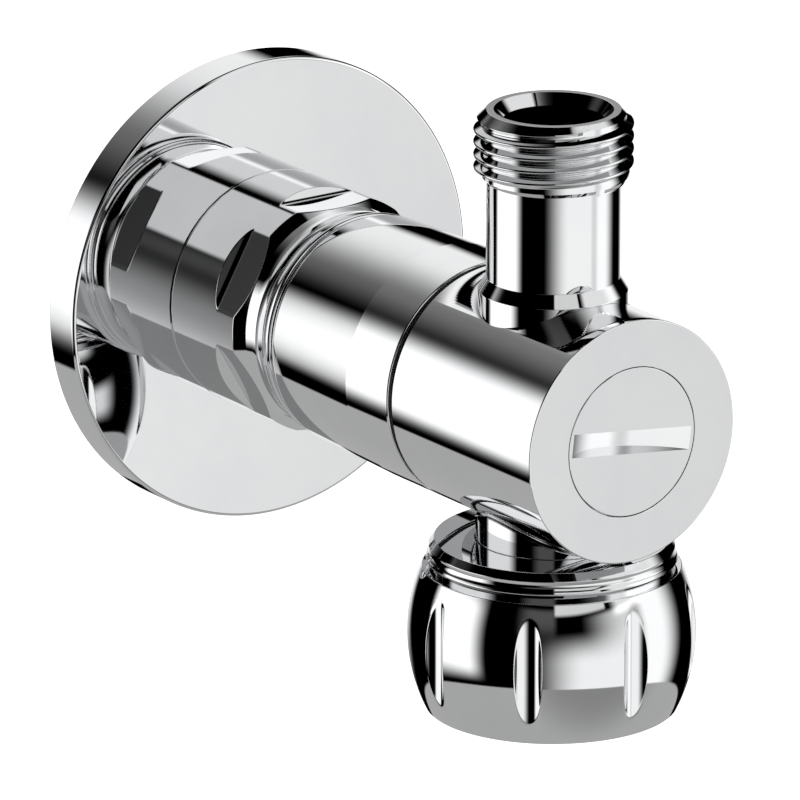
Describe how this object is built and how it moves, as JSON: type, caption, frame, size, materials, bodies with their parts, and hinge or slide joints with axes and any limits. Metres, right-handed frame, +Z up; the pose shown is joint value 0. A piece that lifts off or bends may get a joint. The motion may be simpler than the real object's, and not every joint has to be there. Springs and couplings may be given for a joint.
{
  "type": "angle stop valve",
  "caption": "Chrome angle stop valve: wall inlet thread with round rosette, swivelling round body, upright threaded outlet, fluted handwheel below and slotted strainer plug in front.",
  "frame": {"origin": "on the inlet thread's axis in the wall's plane, which is the plane of the rosette's back rim", "axes": "+Y along the inlet thread into the wall, +Z up along the outlet, +X to the right for somebody who faces the wall"},
  "size_m": [0.051, 0.0844, 0.0648],
  "materials": {
    "chrome_body": "polished",
    "chrome_fitting": "polished",
    "chrome_rosette": "polished",
    "chrome_wheel": "polished",
    "brass": "satin",
    "steel": "satin",
    "gauze": "satin",
    "black_rubber": "matte",
    "dark_polymer": "satin",
    "white_polymer": "satin",
    "white_ptfe": "satin",
    "fibre": "matte"
  },
  "bodies": {
    "inlet": {"inlet_connector": "chrome_fitting", "rosette": "chrome_rosette", "inlet_thread_seal": "white_ptfe", "swivel_o_rings": "black_rubber", "swivel_washer": "dark_polymer", "swivel_thrust_washer": "steel", "swivel_snap_ring": "steel"},
    "valve_body": {"rear_sleeve": "chrome_body", "joint_ring": "black_rubber", "front_body": "chrome_body", "outlet_spigot": "chrome_fitting", "outlet_seal_ring": "fibre", "valve_seat": "steel", "bonnet": "brass", "bonnet_gasket": "fibre"},
    "plunger": {"plunger": "brass", "seat_washer": "black_rubber", "washer_screw": "steel"},
    "handwheel": {"spindle": "brass", "spindle_o_rings": "black_rubber", "spindle_circlip": "steel", "handwheel_insert": "white_polymer", "handwheel_screw": "steel", "handwheel_barrel": "chrome_wheel", "handwheel_top_ring": "chrome_wheel", "handwheel_cover": "chrome_wheel"},
    "strainer": {"filter_frame": "white_polymer", "filter_mesh": "gauze"},
    "plug": {"filter_plug": "chrome_body", "plug_o_ring": "black_rubber"}
  },
  "joints": [
    {"name": "body_swivel", "type": "hinge", "parent": "inlet", "child": "valve_body", "pos_m": [0, -0.0295, 0], "axis": [0, 1, 0], "continuous": true},
    {"name": "handwheel_turn", "type": "hinge", "parent": "valve_body", "child": "handwheel", "pos_m": [0, -0.0564, -0.0225], "axis": [0, 0, -1], "range_deg": [0, 900]},
    {"name": "plunger_slide", "type": "slide", "parent": "valve_body", "child": "plunger", "axis": [0, 0, -1], "range_m": [0, 0.0025]},
    {"name": "strainer_slide", "type": "slide", "parent": "valve_body", "child": "strainer", "axis": [0, -1, 0], "range_m": [0, 0.005]},
    {"name": "plug_turn", "type": "hinge", "parent": "strainer", "child": "plug", "pos_m": [0, -0.067, 0], "axis": [0, -1, 0], "range_deg": [0, 1800]}
  ],
  "couplings": [
    {"joint": "plunger_slide", "follows": "handwheel_turn", "m_per_rad": 0.00015915},
    {"joint": "strainer_slide", "follows": "plug_turn", "m_per_rad": 0.00015915}
  ]
}
